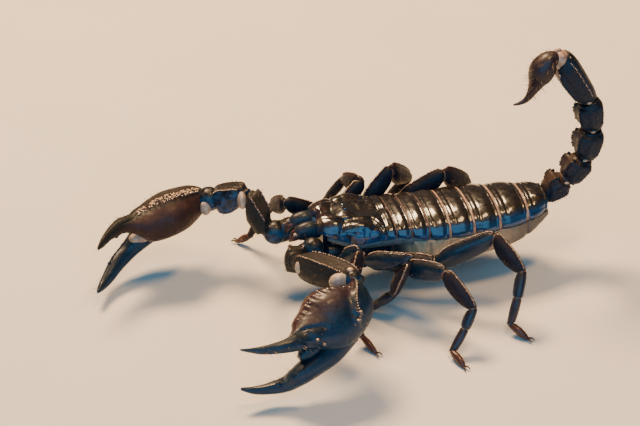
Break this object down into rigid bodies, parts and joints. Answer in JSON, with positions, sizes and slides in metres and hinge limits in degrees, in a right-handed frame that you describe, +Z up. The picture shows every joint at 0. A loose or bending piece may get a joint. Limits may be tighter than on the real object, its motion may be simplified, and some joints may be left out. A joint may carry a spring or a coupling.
{
  "type": "forest scorpion model",
  "caption": "Life-size black forest scorpion standing on its legs, claws held out ahead and tail arched up with the sting hanging forward.",
  "frame": {"origin": "on the floor, under the middle of the animal's box", "axes": "+X towards the animal's left, +Y from head to tail, +Z up"},
  "size_m": [0.0658, 0.1116, 0.0506],
  "materials": {
    "shell_black": "glossy blue-black shell with fine wrinkles and granules",
    "shell_brown": "glossy dark red-brown shell",
    "foot_brown": "satin red-brown shell",
    "soft_skin": "finely folded soft skin",
    "eye_black": "mirror-bright black"
  },
  "bodies": {
    "root": {"arm_base_left": "shell_black", "arm_base_right": "shell_black", "arm_fore_left": "shell_black", "arm_fore_right": "shell_black", "arm_upper_left": "shell_black", "arm_upper_right": "shell_black", "back_plate_1": "shell_black", "back_plate_2": "shell_black", "back_plate_3": "shell_black", "back_plate_4": "shell_black", "back_plate_5": "shell_black", "back_plate_6": "shell_black", "back_plate_7": "shell_black", "belly_plates": "shell_brown", "carapace": "shell_black", "chelicera_left": "shell_brown", "chelicera_right": "shell_brown", "comb_left": "shell_brown", "comb_right": "shell_brown", "eye_left": "eye_black", "eye_right": "eye_black", "hand_left": "shell_brown", "hand_right": "shell_brown", "leg_bases": "shell_black", "moving_finger_left": "shell_black", "moving_finger_right": "shell_black", "patella_left_1": "shell_black", "patella_left_2": "shell_black", "patella_left_3": "shell_black", "patella_left_4": "shell_black", "patella_right_1": "shell_black", "patella_right_2": "shell_black", "patella_right_3": "shell_black", "patella_right_4": "shell_black", "shank_left_1": "foot_brown", "shank_left_2": "foot_brown", "shank_left_3": "foot_brown", "shank_left_4": "foot_brown", "shank_right_1": "foot_brown", "shank_right_2": "foot_brown", "shank_right_3": "foot_brown", "shank_right_4": "foot_brown", "soft_body": "soft_skin", "tail_1": "shell_black", "tail_2": "shell_black", "tail_3": "shell_black", "tail_4": "shell_black", "tail_5": "shell_black", "telson": "shell_brown", "thigh_left_1": "shell_black", "thigh_left_2": "shell_black", "thigh_left_3": "shell_black", "thigh_left_4": "shell_black", "thigh_right_1": "shell_black", "thigh_right_2": "shell_black", "thigh_right_3": "shell_black", "thigh_right_4": "shell_black"}
  },
  "joints": []
}
